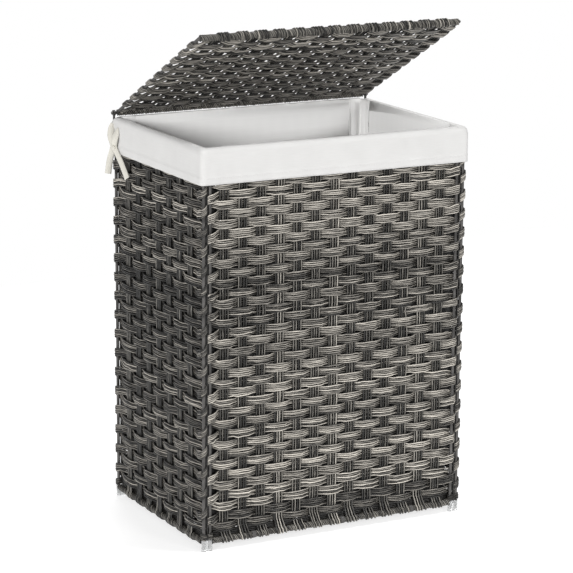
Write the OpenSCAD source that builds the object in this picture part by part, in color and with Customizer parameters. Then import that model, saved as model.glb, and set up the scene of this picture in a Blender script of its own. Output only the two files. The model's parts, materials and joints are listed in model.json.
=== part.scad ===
// Woven laundry hamper with a hinged lid and a removable cloth liner.
// X runs along the front, Y from the front to the back, Z up from the floor.
// Every woven panel is drawn upright, facing -Y, and then turned into its place.

/* [Hamper] */
// Width over the liner's cuff
hamper_w = 460; // [400:1:520]
// Depth over the liner's cuff
hamper_d = 326; // [280:1:400]
// Height from the floor to the top of the cuff
hamper_h = 620; // [560:1:700]

/* [Frame] */
// Diameter of the welded steel rods
rod_d = 5; // [4:0.1:6]
// Height of the lower rails above the floor
low_rail_z = 15; // [14.5:0.5:18]
// Outer diameter of a rail with its woven wrap
wrap_d = 9.6; // [9.4:0.1:9.8]

/* [Weave] */
// Thickness of a flat bundle of woven strands
strand_t = 2.3; // [2:0.1:2.4]
// Width of a stake, the upright bundle that the rows pass
stake_w = 16.5; // [12:0.5:18]
// Thickness of a stake
stake_t = 3; // [2:0.1:3.2]
// Distance between stakes in the front, the back, the lid and the base
front_pitch = 31; // [28:0.5:31.5]
// How far the front panel's stakes stand off centre
front_shift = -3.5; // [-5:0.5:5]
// Distance between stakes in the side panels
side_pitch = 37; // [34:0.5:40]
// Number of woven rows in each wall
wall_rows = 37; // [33:1:37]
// Height of the lowest row's middle above the floor
first_row_z = 35.5; // [34:0.5:38]
// Pitch of the rows at the bottom of a wall
low_pitch = 16.3; // [15.5:0.1:16.4]
// Pitch of the rows at the top, where they are beaten down tighter
high_pitch = 14.6; // [14.4:0.1:14.8]
// Height of one row
row_h = 13.2; // [11:0.1:13.6]

/* [Lid] */
// How far the lid stands open, in degrees
lid_open = 27.5; // [1:0.5:80]
// Distance from the hinge axis to the middle of the free rim
lid_reach = 331; // [325:1:345]
// Number of woven rows in the lid
lid_rows = 19; // [15:2:19]
// Clearance between the lid's rear rail and the bore of a hinge eye
hinge_fit = 0.06; // [0.02:0.01:0.1]

/* [Base] */
// Number of woven rows in the base
base_rows = 17; // [13:2:17]

/* [Feet] */
// Height of the clear plastic feet
foot_h = 17; // [13:1:17]
// Thickness of plastic under the rods
foot_floor = 3; // [2:0.5:5]
// Outer diameter of each lobe of a foot
lobe_d = 7.6; // [7:0.1:8]

/* [Liner] */
// Thickness of the folded cloth
cloth_t = 1.2; // [0.8:0.1:1.3]
// Depth of the cuff that is turned down over the rim
cuff_h = 55; // [40:1:80]
// Gap in the cuff at each rear corner, where a hinge comes through
cuff_slit = 14; // [12:1:20]
// Width of the tie tapes
tape_w = 7.5; // [5:0.5:10]

/* [Hidden] */
$fn = 40;

// General gaps: round a rod, at a weld, and beside the cloth.
fit = 0.15;
weld = 0.05;
cloth_gap = 0.85;

// Distance from a rod's axis to the outside of the strands that loop round it.
loop_r = rod_d / 2 + fit + strand_t;
wrap_r = wrap_d / 2;

// Places of the panels: side panels at +-side_x, front and back panels at +-face_y.
side_x = hamper_w / 2 - cloth_t - cloth_gap - loop_r;
face_y = hamper_d / 2 - cloth_t - cloth_gap - loop_r;
// The posts of the front and back panels stand beside those of the side panels.
post_gap = rod_d + 2 * strand_t + 4 * fit;
post_x = side_x - post_gap;
high_rail_z = hamper_h - cloth_t - 1 - wrap_r;
post_top = high_rail_z + rod_d / 2;

// A rail's wrap stops short of the posts, to leave room for a foot.
wrap_end = lobe_d / 2 + 0.4;

// Stakes of each panel, left to right.
function spread(n, pitch, shift = 0) = [for (i = [0 : n - 1]) (i - (n - 1) / 2) * pitch + shift];
front_xs = spread(13, front_pitch, front_shift);
plain_xs = spread(13, front_pitch);
side_xs = spread(7, side_pitch);

// Heights of the rows of a wall: the pitch falls evenly from low_pitch to high_pitch.
pitch_fall = (low_pitch - high_pitch) / (wall_rows - 2);
wall_zs = [for (i = [0 : wall_rows - 1]) first_row_z + i * low_pitch - i * (i - 1) / 2 * pitch_fall];

// Rows of the lid and of the base, measured from their first rail.
lid_zs = [for (z = spread(lid_rows, (lid_reach - 39) / (lid_rows - 1))) lid_reach / 2 + z];
base_x = side_x - 2 * wrap_r - 0.6;
base_y = face_y - 2 * wrap_r - 0.6;
base_zs = [for (z = spread(base_rows, (2 * base_y - 43) / (base_rows - 1))) base_y + z];

// The lid turns on its own rear rail.
hinge_y = face_y;
hinge_z = hamper_h + loop_r + 1;
eye_t = 4;
eye_r = 5;
eye_x = hamper_w / 2 - eye_t;
lid_side_x = eye_x - loop_r - fit;

charcoal = "#4a4845";
taupe = "#6f6b66";
cream = "#e9e7e1";

// ---- Woven panel, upright, facing -Y, its posts at x = +-half ----

module rod_x(x0, x1, z) {
    translate([x0, 0, z]) rotate([0, 90, 0]) cylinder(d = rod_d, h = x1 - x0);
}

module post(x, z0, z1) {
    translate([x, 0, z0]) cylinder(d = rod_d, h = z1 - z0);
}

// Two posts with two rails welded between them.
module panel_frame(half, z_low, z_high, z_foot, z_top) {
    inside = half - rod_d / 2 - weld;
    color(charcoal) {
        for (x = [-half, half]) post(x, z_foot, z_top);
        for (z = [z_low, z_high]) rod_x(-inside, inside, z);
    }
}

// Flat upright bundles between the two wrapped rails.
module panel_stakes(xs, z_low, z_high) {
    z0 = z_low + wrap_r + fit;
    z1 = z_high - wrap_r - fit;
    color(taupe)
        for (x = xs)
            translate([x - stake_w / 2, -stake_t / 2, z0]) cube([stake_w, stake_t, z1 - z0]);
}

// One face of a row from the left post to the right one. The row is on side s of both
// posts and changes side at each stake; e is +1 on the face away from the posts.
function row_face(half, xs, s, e) =
    let (
        at_post = s * (rod_d / 2 + fit + strand_t / 2 + e * strand_t / 2),
        reach = rod_d / 2 + fit + (1 + e) * strand_t / 2,
        bend = stake_w / 2 + 0.8
    )
    concat(
        [[-half - reach, at_post], [-half + reach, at_post]],
        [for (i = [0 : len(xs) - 1]) for (q = [-1, 1])
            let (t = i % 2 == 0 ? -s : s)
            [xs[i] + q * bend, t * (stake_t / 2 + fit + strand_t / 2) + s * e * strand_t / 2]],
        [[half - reach, at_post], [half + reach, at_post]]
    );

function backwards(list) = [for (i = [len(list) - 1 : -1 : 0]) list[i]];

// A row seen from above, with a hook round the outer side of each post.
module row_outline(half, xs, s) {
    outer = half + loop_r;
    inner = outer - strand_t;
    tip = -s * strand_t / 2;
    polygon(concat(
        row_face(half, xs, s, 1),
        [[outer, tip], [inner, tip]],
        backwards(row_face(half, xs, s, -1)),
        [[-inner, tip], [-outer, tip]]
    ));
}

// The whole weft is one strand bundle: rows joined in turn round the left and right posts.
module panel_weft(half, xs, zs) {
    color(taupe) {
        for (i = [0 : len(zs) - 1])
            translate([0, 0, zs[i] - row_h / 2])
                linear_extrude(row_h)
                    row_outline(half, xs, i % 2 == 0 ? 1 : -1);
        for (i = [0 : len(zs) - 2])
            let (x = i % 2 == 0 ? -half - loop_r : half + loop_r - strand_t)
            translate([x, -strand_t / 2, zs[i]])
                cube([strand_t, strand_t, zs[i + 1] - zs[i]]);
    }
}

// A spiral of strands round a rail, drawn as a sleeve.
module sleeve_x(x0, x1, z) {
    translate([x0, 0, z]) rotate([0, 90, 0])
        difference() {
            cylinder(r = wrap_r, h = x1 - x0);
            translate([0, 0, -1]) cylinder(d = rod_d + 0.1, h = x1 - x0 + 2);
        }
}

module rail_wrap(half, z) {
    color(taupe) sleeve_x(-half + wrap_end, half - wrap_end, z);
}

// ---- Places of the panels ----

module at_front() { translate([0, -face_y, 0]) children(); }
module at_back() { translate([0, face_y, 0]) rotate([0, 0, 180]) children(); }
module at_left() { translate([-side_x, 0, 0]) rotate([0, 0, -90]) children(); }
module at_right() { translate([side_x, 0, 0]) rotate([0, 0, 90]) children(); }
// The base lies on its back, so that a panel's z becomes +Y.
module at_base() { translate([0, -base_y, low_rail_z]) rotate([-90, 0, 0]) children(); }
// The lid turns about its last rail, with its outer side up.
module at_lid() {
    translate([0, hinge_y, hinge_z]) rotate([-lid_open, 0, 0])
        translate([0, -lid_reach, 0]) rotate([-90, 0, 0]) children();
}

// ---- Walls ----

module wall_frame(half) { panel_frame(half, low_rail_z, high_rail_z, foot_floor, post_top); }
module wall_stakes(xs) { panel_stakes(xs, low_rail_z, high_rail_z); }

module front_frame() { at_front() wall_frame(post_x); }
module front_stakes() { at_front() wall_stakes(front_xs); }
module front_weft() { at_front() panel_weft(post_x, front_xs, wall_zs); }
module front_top_wrap() { at_front() rail_wrap(post_x, high_rail_z); }
module front_bottom_wrap() { at_front() rail_wrap(post_x, low_rail_z); }

module back_frame() { at_back() wall_frame(post_x); }
module back_stakes() { at_back() wall_stakes(plain_xs); }
module back_weft() { at_back() panel_weft(post_x, plain_xs, wall_zs); }
module back_top_wrap() { at_back() rail_wrap(post_x, high_rail_z); }
module back_bottom_wrap() { at_back() rail_wrap(post_x, low_rail_z); }

module left_frame() { at_left() wall_frame(face_y); }
module left_stakes() { at_left() wall_stakes(side_xs); }
module left_weft() { at_left() panel_weft(face_y, side_xs, wall_zs); }
module left_top_wrap() { at_left() rail_wrap(face_y, high_rail_z); }
module left_bottom_wrap() { at_left() rail_wrap(face_y, low_rail_z); }

module right_frame() { at_right() wall_frame(face_y); }
module right_stakes() { at_right() wall_stakes(side_xs); }
module right_weft() { at_right() panel_weft(face_y, side_xs, wall_zs); }
module right_top_wrap() { at_right() rail_wrap(face_y, high_rail_z); }
module right_bottom_wrap() { at_right() rail_wrap(face_y, low_rail_z); }

// ---- Base, lashed to the lower rails of the front and back panels ----

module base_frame() { at_base() panel_frame(base_x, 0, 2 * base_y, -rod_d / 2, 2 * base_y + rod_d / 2); }
module base_stakes() { at_base() panel_stakes(plain_xs, 0, 2 * base_y); }
module base_weft() { at_base() panel_weft(base_x, plain_xs, base_zs); }
module base_rim_wrap() { at_base() for (z = [0, 2 * base_y]) rail_wrap(base_x, z); }

// Outline of a band round the two wrapped rails that lie side by side.
module lashing_outline(r) {
    for (y = [base_y, face_y]) translate([y, 0]) circle(r = r);
    translate([base_y, -r]) square([face_y - base_y, 2 * r]);
}

module base_lashings() {
    lashing_w = 6;
    lashing_t = 1;
    lashing_x = 4.5 * front_pitch;
    color(charcoal)
        for (turn = [0, 180]) rotate([0, 0, turn])
            for (x = [-lashing_x, -front_pitch / 2, lashing_x])
                translate([x - lashing_w / 2, 0, low_rail_z]) rotate([90, 0, 90])
                    linear_extrude(lashing_w) difference() {
                        lashing_outline(wrap_r + fit + lashing_t);
                        lashing_outline(wrap_r + fit);
                    }
}

// ---- Lid ----

// The rear rail runs on past the side rails into the hinge eyes.
module lid_frame() {
    rear_half = hamper_w / 2;
    inside = lid_side_x - rod_d / 2 - weld;
    at_lid() color(charcoal) {
        rod_x(-rear_half, rear_half, lid_reach);
        rod_x(-inside, inside, 0);
        for (x = [-lid_side_x, lid_side_x]) post(x, -rod_d / 2, lid_reach - rod_d / 2 - weld);
    }
}
module lid_stakes() { at_lid() panel_stakes(plain_xs, 0, lid_reach); }
module lid_weft() { at_lid() panel_weft(lid_side_x, plain_xs, lid_zs); }
module lid_rear_wrap() { at_lid() rail_wrap(lid_side_x, lid_reach); }
module lid_front_wrap() { at_lid() rail_wrap(lid_side_x, 0); }

// ---- Hinge eyes, each pressed over the top of a side panel's rear post ----

module hinge_eye() {
    socket_h = 9;
    socket_z = post_top - socket_h;
    socket_r = lobe_d / 2 - 0.1;
    color(charcoal) difference() {
        union() {
            translate([side_x, face_y, socket_z]) cylinder(r = socket_r, h = socket_h + 1.5);
            translate([eye_x, face_y - socket_r, socket_z])
                cube([eye_t, 2 * socket_r, hinge_z - socket_z]);
            translate([eye_x, hinge_y, hinge_z]) rotate([0, 90, 0]) cylinder(r = eye_r, h = eye_t);
        }
        translate([side_x, face_y, socket_z - 1]) cylinder(d = rod_d + 0.1, h = socket_h + 1);
        translate([eye_x - 1, hinge_y, hinge_z])
            rotate([0, 90, 0]) cylinder(d = rod_d + 2 * hinge_fit, h = eye_t + 2);
        // Slot for the side panel's upper rail.
        translate([side_x - rod_d / 2 - fit, face_y - 2 * eye_r, high_rail_z - rod_d / 2 - fit])
            cube([rod_d + 2 * fit, 2 * eye_r - rod_d / 2 + 0.5, rod_d + 2 * fit]);
    }
}
module hinge_eye_right() { hinge_eye(); }
module hinge_eye_left() { mirror([1, 0, 0]) hinge_eye(); }

// ---- Twin-bore pieces that hold the pair of posts at each corner ----

module twin_bore(h, floor_t, d) {
    difference() {
        union() {
            for (x = [post_x, side_x]) translate([x, face_y, 0]) cylinder(d = d, h = h);
            translate([post_x, face_y - d / 4, 0]) cube([post_gap, d / 2, h]);
        }
        for (x = [post_x, side_x])
            translate([x, face_y, floor_t]) cylinder(d = rod_d + 0.1, h = h + 1);
    }
}

// Foot at the rear right corner, with a slot in each lobe for the rail that leaves it.
module foot() {
    slot_w = rod_d + 2 * fit;
    slot_z = low_rail_z - slot_w / 2;
    color("#dfe5e6", 0.6) difference() {
        twin_bore(foot_h, foot_floor, lobe_d);
        translate([post_x - lobe_d, face_y - slot_w / 2, slot_z]) cube([lobe_d, slot_w, foot_h]);
        translate([side_x - slot_w / 2, face_y - lobe_d, slot_z]) cube([slot_w, lobe_d, foot_h]);
    }
}
module foot_back_right() { foot(); }
module foot_back_left() { mirror([1, 0, 0]) foot(); }
module foot_front_right() { mirror([0, 1, 0]) foot(); }
module foot_front_left() { mirror([1, 0, 0]) mirror([0, 1, 0]) foot(); }

// Clips between the top row and the upper rails.
module corner_clips() {
    clip_h = 4;
    clip_z = high_rail_z - wrap_r - clip_h - 2;
    color(charcoal)
        for (sx = [0, 1]) for (sy = [0, 1])
            mirror([sx, 0, 0]) mirror([0, sy, 0])
                translate([0, 0, clip_z]) twin_bore(clip_h, -1, lobe_d);
}

// ---- Liner ----

bag_x = side_x - loop_r - cloth_gap;
bag_y = face_y - loop_r - cloth_gap;
bag_z = low_rail_z + wrap_r + fit + 1.8;
fold_z = hamper_h - cloth_t;
corner_r = 9;

module rounded(x, y, r) {
    for (sx = [-1, 1]) for (sy = [-1, 1]) translate([sx * (x - r), sy * (y - r)]) circle(r = r);
    square([2 * x, 2 * (y - r)], center = true);
    square([2 * (x - r), 2 * y], center = true);
}

module liner_bag() {
    color(cream) translate([0, 0, bag_z]) difference() {
        linear_extrude(fold_z - bag_z) rounded(bag_x, bag_y, corner_r);
        translate([0, 0, cloth_t])
            linear_extrude(fold_z)
                rounded(bag_x - cloth_t, bag_y - cloth_t, corner_r - cloth_t);
    }
}

// The cuff is drawn along X. Its fold lies over the rail, from the bag outward.
module cuff_fold(x0, x1, inner, outer) {
    translate([x0, -outer, fold_z]) cube([x1 - x0, outer - inner, cloth_t]);
}

// Its skirt hangs down outside the weave.
module cuff_skirt(x0, x1, outer) {
    translate([x0, -outer, hamper_h - cuff_h]) cube([x1 - x0, cloth_t, cuff_h]);
}

module liner_cuff_front() {
    end_x = hamper_w / 2 - cloth_t - weld;
    color(cream) {
        cuff_fold(-end_x, end_x, bag_y - cloth_t, hamper_d / 2);
        cuff_skirt(-end_x, end_x, hamper_d / 2);
    }
}

// A side run starts at the front corner and stops at the slit for the hinge.
module side_cuff() {
    run_end = hamper_d / 2 - cuff_slit;
    color(cream) rotate([0, 0, 90]) {
        cuff_fold(-bag_y + cloth_t + weld, run_end, bag_x - cloth_t, hamper_w / 2);
        cuff_skirt(-hamper_d / 2, run_end, hamper_w / 2);
    }
}
module liner_cuff_right() { side_cuff(); }
module liner_cuff_left() { mirror([1, 0, 0]) side_cuff(); }

module liner_cuff_back() {
    end_x = hamper_w / 2 - cuff_slit;
    color(cream) rotate([0, 0, 180]) {
        cuff_fold(-end_x, end_x, bag_y - cloth_t, hamper_d / 2);
        cuff_skirt(-end_x, end_x, hamper_d / 2);
    }
}

// A pair of flat tapes knotted across the slit. One tail hangs across the side panel and
// the other springs away from the corner.
module cuff_tie() {
    knot = [4, 8, 7];
    knot_z = hamper_h - 40;
    knot_y = hamper_d / 2 - 8;
    tape_t = 1;
    side_tail = 60;
    free_tail = 45;
    strap_l = 32;
    x = hamper_w / 2 + 0.5;
    color("#efecdf") translate([x, knot_y, knot_z]) {
        translate([0, -knot.y / 2, -knot.z / 2]) cube(knot);
        translate([1, 0, 0]) rotate([-50, 0, 0])
            translate([0, -tape_w / 2, -side_tail]) cube([tape_t, tape_w, side_tail]);
        translate([2, 0, 0]) rotate([4, -12, 0])
            translate([0, -tape_w / 2, -free_tail]) cube([tape_t, tape_w, free_tail]);
        for (lean = [-9, 9])
            translate([1, 0, 0]) rotate([lean, 0, 0])
                translate([0, -tape_w / 4, 0]) cube([tape_t, tape_w / 2, strap_l]);
    }
}
module cuff_tie_right() { cuff_tie(); }
module cuff_tie_left() { mirror([1, 0, 0]) cuff_tie(); }

front_frame();
front_stakes();
front_weft();
front_top_wrap();
front_bottom_wrap();
back_frame();
back_stakes();
back_weft();
back_top_wrap();
back_bottom_wrap();
left_frame();
left_stakes();
left_weft();
left_top_wrap();
left_bottom_wrap();
right_frame();
right_stakes();
right_weft();
right_top_wrap();
right_bottom_wrap();
base_frame();
base_stakes();
base_weft();
base_rim_wrap();
base_lashings();
lid_frame();
lid_stakes();
lid_weft();
lid_rear_wrap();
lid_front_wrap();
hinge_eye_left();
hinge_eye_right();
corner_clips();
foot_front_left();
foot_front_right();
foot_back_left();
foot_back_right();
liner_bag();
liner_cuff_front();
liner_cuff_left();
liner_cuff_right();
liner_cuff_back();
cuff_tie_left();
cuff_tie_right();
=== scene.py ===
"""Looks of a woven laundry hamper with a hinged lid and a cloth liner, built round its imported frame.

Lengths in the mesh code are in millimetres and become metres when a mesh is made. A panel's own
coordinates are x along its rows, d out of its face and z along its stakes. The lid's z runs from its
free rail, at 0, to its hinged rail, at LID_REACH.
"""

import json
import math

import bpy
import numpy as np
from mathutils import Matrix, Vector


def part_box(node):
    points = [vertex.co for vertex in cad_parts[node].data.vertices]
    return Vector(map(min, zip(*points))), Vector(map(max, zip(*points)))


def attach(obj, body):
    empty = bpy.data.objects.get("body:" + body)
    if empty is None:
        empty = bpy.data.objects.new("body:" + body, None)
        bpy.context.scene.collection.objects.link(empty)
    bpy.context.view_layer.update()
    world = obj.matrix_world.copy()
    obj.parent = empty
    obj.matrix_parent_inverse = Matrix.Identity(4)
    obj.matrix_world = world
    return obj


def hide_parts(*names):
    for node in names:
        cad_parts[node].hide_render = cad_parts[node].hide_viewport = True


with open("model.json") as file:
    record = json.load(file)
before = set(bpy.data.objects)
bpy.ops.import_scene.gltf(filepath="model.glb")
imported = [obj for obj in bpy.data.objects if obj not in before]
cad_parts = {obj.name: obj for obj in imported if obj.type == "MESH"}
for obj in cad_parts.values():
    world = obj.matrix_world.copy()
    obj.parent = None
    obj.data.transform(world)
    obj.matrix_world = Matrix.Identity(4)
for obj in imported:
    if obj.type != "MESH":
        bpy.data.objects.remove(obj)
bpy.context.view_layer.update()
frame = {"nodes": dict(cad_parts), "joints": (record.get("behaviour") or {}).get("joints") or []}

# ---------------------------------------------------------------- places, from the frame


def box_mm(node):
    low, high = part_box(node)
    return np.array(low) * 1000, np.array(high) * 1000


def middle(node):
    low, high = box_mm(node)
    return (low + high) / 2


ROD_R = 2.5
LOOP_R = 4.95  # from a post's axis to the outside of the strands that loop round it
SIDE_X = middle("right_stakes")[0]
FACE_Y = middle("back_stakes")[1]
POST_X = box_mm("front_frame")[1][0] - ROD_R
LOW_RAIL_Z = middle("front_bottom_wrap")[2]
HIGH_RAIL_Z = middle("front_top_wrap")[2]
BASE_X, BASE_Y = (v - ROD_R for v in box_mm("base_frame")[1][:2])
LID_X = box_mm("lid_weft")[1][0] - LOOP_R
HINGE = np.array(frame["joints"][0]["pos_m"]) * 1000
LID_OPEN = -math.radians(frame["joints"][0]["range_deg"][0])
LID_REACH = 331.0
CUFF_LOW = box_mm("liner_cuff_front")[0][2]
BAG_LOW = box_mm("liner_bag")[0][2]

FRONT_PITCH, SIDE_PITCH = 31.0, 37.0


def spread(n, pitch, shift=0.0):
    return (np.arange(n) - (n - 1) / 2) * pitch + shift


FRONT_XS = spread(13, FRONT_PITCH, -3.5)
PLAIN_XS = spread(13, FRONT_PITCH)
SIDE_XS = spread(7, SIDE_PITCH)
rows = np.arange(37)
WALL_ZS = 35.5 + 16.3 * rows - rows * (rows - 1) / 2 * (1.7 / 35)
LID_ZS = LID_REACH / 2 + spread(19, (LID_REACH - 39) / 18)
BASE_ZS = BASE_Y + spread(17, (2 * BASE_Y - 43) / 16)


def at_front(p):
    x, d, z = p.T
    return np.stack([x, -FACE_Y - d, z], 1)


def at_back(p):
    x, d, z = p.T
    return np.stack([-x, FACE_Y + d, z], 1)


def at_left(p):
    x, d, z = p.T
    return np.stack([-SIDE_X - d, -x, z], 1)


def at_right(p):
    x, d, z = p.T
    return np.stack([SIDE_X + d, x, z], 1)


def at_base(p):
    x, d, z = p.T
    return np.stack([x, z - BASE_Y, LOW_RAIL_Z + d], 1)


def at_lid(p):
    x, d, z = p.T
    y = z - LID_REACH
    c, s = math.cos(LID_OPEN), math.sin(LID_OPEN)
    return np.stack([x, HINGE[1] + y * c + d * s, HINGE[2] - y * s + d * c], 1)


def direction(place, axis):
    """The way a panel's own axis, 0, 1 or 2, looks in the frame, as one row."""
    return place(np.eye(3)[axis : axis + 1]) - place(np.zeros((1, 3)))


# ---------------------------------------------------------------- camera and light

scene = bpy.context.scene
target = np.array([-0.0012, 0.0, 0.3564])
azimuth, elevation, distance = math.radians(-28.02), math.radians(13.24), 4.083
back = np.array(
    [
        math.sin(azimuth) * math.cos(elevation),
        -math.cos(azimuth) * math.cos(elevation),
        math.sin(elevation),
    ]
)


def aim(obj, place, at, roll=0.0):
    """Puts a camera or lamp at a place, looking at a point, with its own up near +Z, then rolls it."""
    place, at = np.array(place, float), np.array(at, float)
    b = (place - at) / np.linalg.norm(place - at)
    r = np.cross([0, 0, 1], b)
    r /= np.linalg.norm(r)
    u = np.cross(b, r)
    c, k = math.cos(roll), math.sin(roll)
    turn = np.eye(4)
    turn[:3] = np.stack([c * r + k * u, c * u - k * r, b, place], 1)
    obj.matrix_world = Matrix(turn.tolist())


def link(obj):
    scene.collection.objects.link(obj)
    return obj


camera = link(bpy.data.objects.new("camera", bpy.data.cameras.new("camera")))
camera.data.lens = 162.8
camera.data.sensor_width = 36.0
camera.data.clip_end = 50
aim(camera, target + distance * back, target, math.radians(0.4))
scene.camera = camera


def sun(name, azimuth, height, strength, softness):
    """A sun from a bearing, 0 from the front and 90 from the right, at a height. Angles are in degrees."""
    lamp = bpy.data.lights.new(name, "SUN")
    lamp.energy = strength
    lamp.angle = math.radians(softness)
    a, e = math.radians(azimuth), math.radians(height)
    obj = link(bpy.data.objects.new(name, lamp))
    aim(obj, (4 * math.sin(a) * math.cos(e), -4 * math.cos(a) * math.cos(e), 4 * math.sin(e)), (0, 0, 0))


sun("key", 18, 15, 0.85, 14)
sun("fill", -58, 13, 2.1, 14)
sun("top", 62, 66, 1.3, 12)
sun("back", 160, 35, 1.0, 20)

world = bpy.data.worlds.new("studio")
world.use_nodes = True
tree = world.node_tree
sky = tree.nodes["Background"]
sky.inputs["Color"].default_value = (1, 1, 1, 1)
sky.inputs["Strength"].default_value = 0.34
backdrop = tree.nodes.new("ShaderNodeBackground")
backdrop.inputs["Color"].default_value = (1, 1, 1, 1)
backdrop.inputs["Strength"].default_value = 1.0
seen = tree.nodes.new("ShaderNodeLightPath")
choose = tree.nodes.new("ShaderNodeMixShader")
tree.links.new(seen.outputs["Is Camera Ray"], choose.inputs["Fac"])
tree.links.new(sky.outputs["Background"], choose.inputs[1])
tree.links.new(backdrop.outputs["Background"], choose.inputs[2])
tree.links.new(choose.outputs["Shader"], tree.nodes["World Output"].inputs["Surface"])
scene.world = world
scene.view_settings.view_transform = "Standard"
scene.view_settings.exposure = 0.0


# ---------------------------------------------------------------- materials


class Nodes:
    """Short names for building one material's nodes."""

    def __init__(self, name):
        self.material = bpy.data.materials.new(name)
        self.material.use_nodes = True
        self.tree = self.material.node_tree
        self.bsdf = self.tree.nodes["Principled BSDF"]

    def add(self, kind, **values):
        node = self.tree.nodes.new(kind)
        for key, value in values.items():
            setattr(node, key, value)
        return node

    def put(self, value, socket):
        if isinstance(value, bpy.types.NodeSocket):
            self.tree.links.new(value, socket)
        else:
            socket.default_value = value

    def set(self, **values):
        for key, value in values.items():
            self.put(value, self.bsdf.inputs[key.replace("_", " ")])

    def attribute(self, name, output="Fac"):
        return self.add("ShaderNodeAttribute", attribute_name=name).outputs[output]

    def position(self):
        return self.add("ShaderNodeTexCoord").outputs["Object"]

    def mapping(self, vector, scale):
        node = self.add("ShaderNodeMapping")
        self.put(vector, node.inputs["Vector"])
        node.inputs["Scale"].default_value = scale
        return node.outputs["Vector"]

    def noise(self, vector, scale, detail=3.0, roughness=0.55):
        node = self.add("ShaderNodeTexNoise")
        self.put(vector, node.inputs["Vector"])
        node.inputs["Scale"].default_value = scale
        node.inputs["Detail"].default_value = detail
        node.inputs["Roughness"].default_value = roughness
        return node.outputs["Fac"]

    def wave(self, vector, scale, direction, distortion=0.0, detail=1.0):
        node = self.add("ShaderNodeTexWave", wave_type="BANDS", bands_direction=direction)
        self.put(vector, node.inputs["Vector"])
        node.inputs["Scale"].default_value = scale
        node.inputs["Distortion"].default_value = distortion
        node.inputs["Detail"].default_value = detail
        return node.outputs["Fac"]

    def math(self, operation, a, b=0.0, c=0.0):
        node = self.add("ShaderNodeMath", operation=operation)
        for value, socket in zip((a, b, c), node.inputs):
            self.put(value, socket)
        return node.outputs["Value"]

    def rescale(self, value, low, high, to_low, to_high):
        node = self.add("ShaderNodeMapRange")
        for v, socket in zip((value, low, high, to_low, to_high), node.inputs):
            self.put(v, socket)
        return node.outputs["Result"]

    def ramp(self, value, *stops):
        node = self.add("ShaderNodeValToRGB")
        self.put(value, node.inputs["Fac"])
        elements = node.color_ramp.elements
        while len(elements) < len(stops):
            elements.new(0.5)
        for element, (place, colour) in zip(elements, stops):
            element.position = place
            element.color = (*colour, 1)
        return node.outputs["Color"]

    def bump(self, height, strength, distance, normal=None):
        node = self.add("ShaderNodeBump")
        self.put(height, node.inputs["Height"])
        node.inputs["Strength"].default_value = strength
        node.inputs["Distance"].default_value = distance
        if normal is not None:
            self.put(normal, node.inputs["Normal"])
        return node.outputs["Normal"]


def strand_material(name, dark, light):
    """Flat plastic rattan strand: long fine ridges, a tone that differs from strand to strand, dull sheen, and
    painted shade that darkens each strand's flanks to draw dark lines between neighbouring strands.
    """
    m = Nodes(name)
    grain = m.attribute("grain", "Vector")
    fibres = m.noise(m.mapping(grain, (1.3, 1.3, 0.07)), 1.0, 4.0, 0.65)
    patches = m.noise(m.mapping(grain, (0.25, 0.25, 0.035)), 1.0, 2.0)
    tone = m.attribute("tone")
    tone = m.math("MULTIPLY_ADD", m.math("SUBTRACT", fibres, 0.5), 1.5, tone)
    tone = m.math("MULTIPLY_ADD", m.math("SUBTRACT", patches, 0.5), 0.35, tone)
    # painted shade: the edge mark, high on a strand's flanks, darkens them towards the ramp's near-black first
    # stop, as the shade between neighbouring strands
    tone = m.math("MULTIPLY_ADD", m.attribute("edge"), -1.15, tone)
    middle_tone = tuple(0.38 * a + 0.62 * b for a, b in zip(light, dark))
    colour = m.ramp(tone, (0.0, tuple(0.3 * v for v in dark)), (0.22, dark), (0.55, middle_tone), (0.95, light))
    m.set(Base_Color=colour, Roughness=m.rescale(fibres, 0.2, 0.8, 0.34, 0.6), Specular_IOR_Level=0.5)
    m.set(Normal=m.bump(fibres, 0.8, 0.0006))
    return m.material


WEFT = strand_material("rattan_weft", (0.026, 0.024, 0.021), (0.68, 0.635, 0.56))
STAKE = strand_material("rattan_stake", (0.022, 0.021, 0.018), (0.64, 0.60, 0.53))
RIM = strand_material("rattan_rim", (0.024, 0.022, 0.019), (0.54, 0.51, 0.45))


def steel_material(name, dark, light):
    """Powder-coated steel with a fine orange peel and slightly rubbed patches."""
    m = Nodes(name)
    p = m.position()
    worn = m.noise(p, 60, 4)
    m.set(Base_Color=m.ramp(worn, (0.35, dark), (0.75, light)), Metallic=0.25)
    m.set(Roughness=m.rescale(worn, 0.3, 0.7, 0.32, 0.5), Normal=m.bump(m.noise(p, 900, 2), 0.15, 0.0002))
    return m.material


STEEL = steel_material("painted_steel", (0.045, 0.043, 0.041), (0.12, 0.115, 0.11))
HINGE_METAL = steel_material("painted_hinge", (0.035, 0.034, 0.033), (0.09, 0.086, 0.082))


def moulded_material():
    """Dull moulded plastic for the clips."""
    m = Nodes("moulded_clip")
    p = m.position()
    m.set(Base_Color=m.ramp(m.noise(p, 120, 3), (0.3, (0.04, 0.038, 0.036)), (0.8, (0.075, 0.072, 0.069))))
    m.set(Roughness=m.rescale(m.noise(p, 400, 2), 0.3, 0.7, 0.45, 0.65))
    m.set(Normal=m.bump(m.noise(p, 1500, 1), 0.2, 0.0001))
    return m.material


def clear_material():
    """Clear moulded plastic with faint flow lines."""
    m = Nodes("clear_foot")
    p = m.position()
    haze = m.noise(m.mapping(p, (1, 1, 3)), 180, 3)
    m.set(Base_Color=m.ramp(haze, (0.3, (0.80, 0.81, 0.81)), (0.7, (0.93, 0.935, 0.935))))
    m.set(Roughness=m.rescale(haze, 0.3, 0.7, 0.10, 0.2), Normal=m.bump(haze, 0.2, 0.0004))
    m.set(Transmission_Weight=0.72, IOR=1.45)
    return m.material


CLIP = moulded_material()
CLEAR = clear_material()


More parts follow.
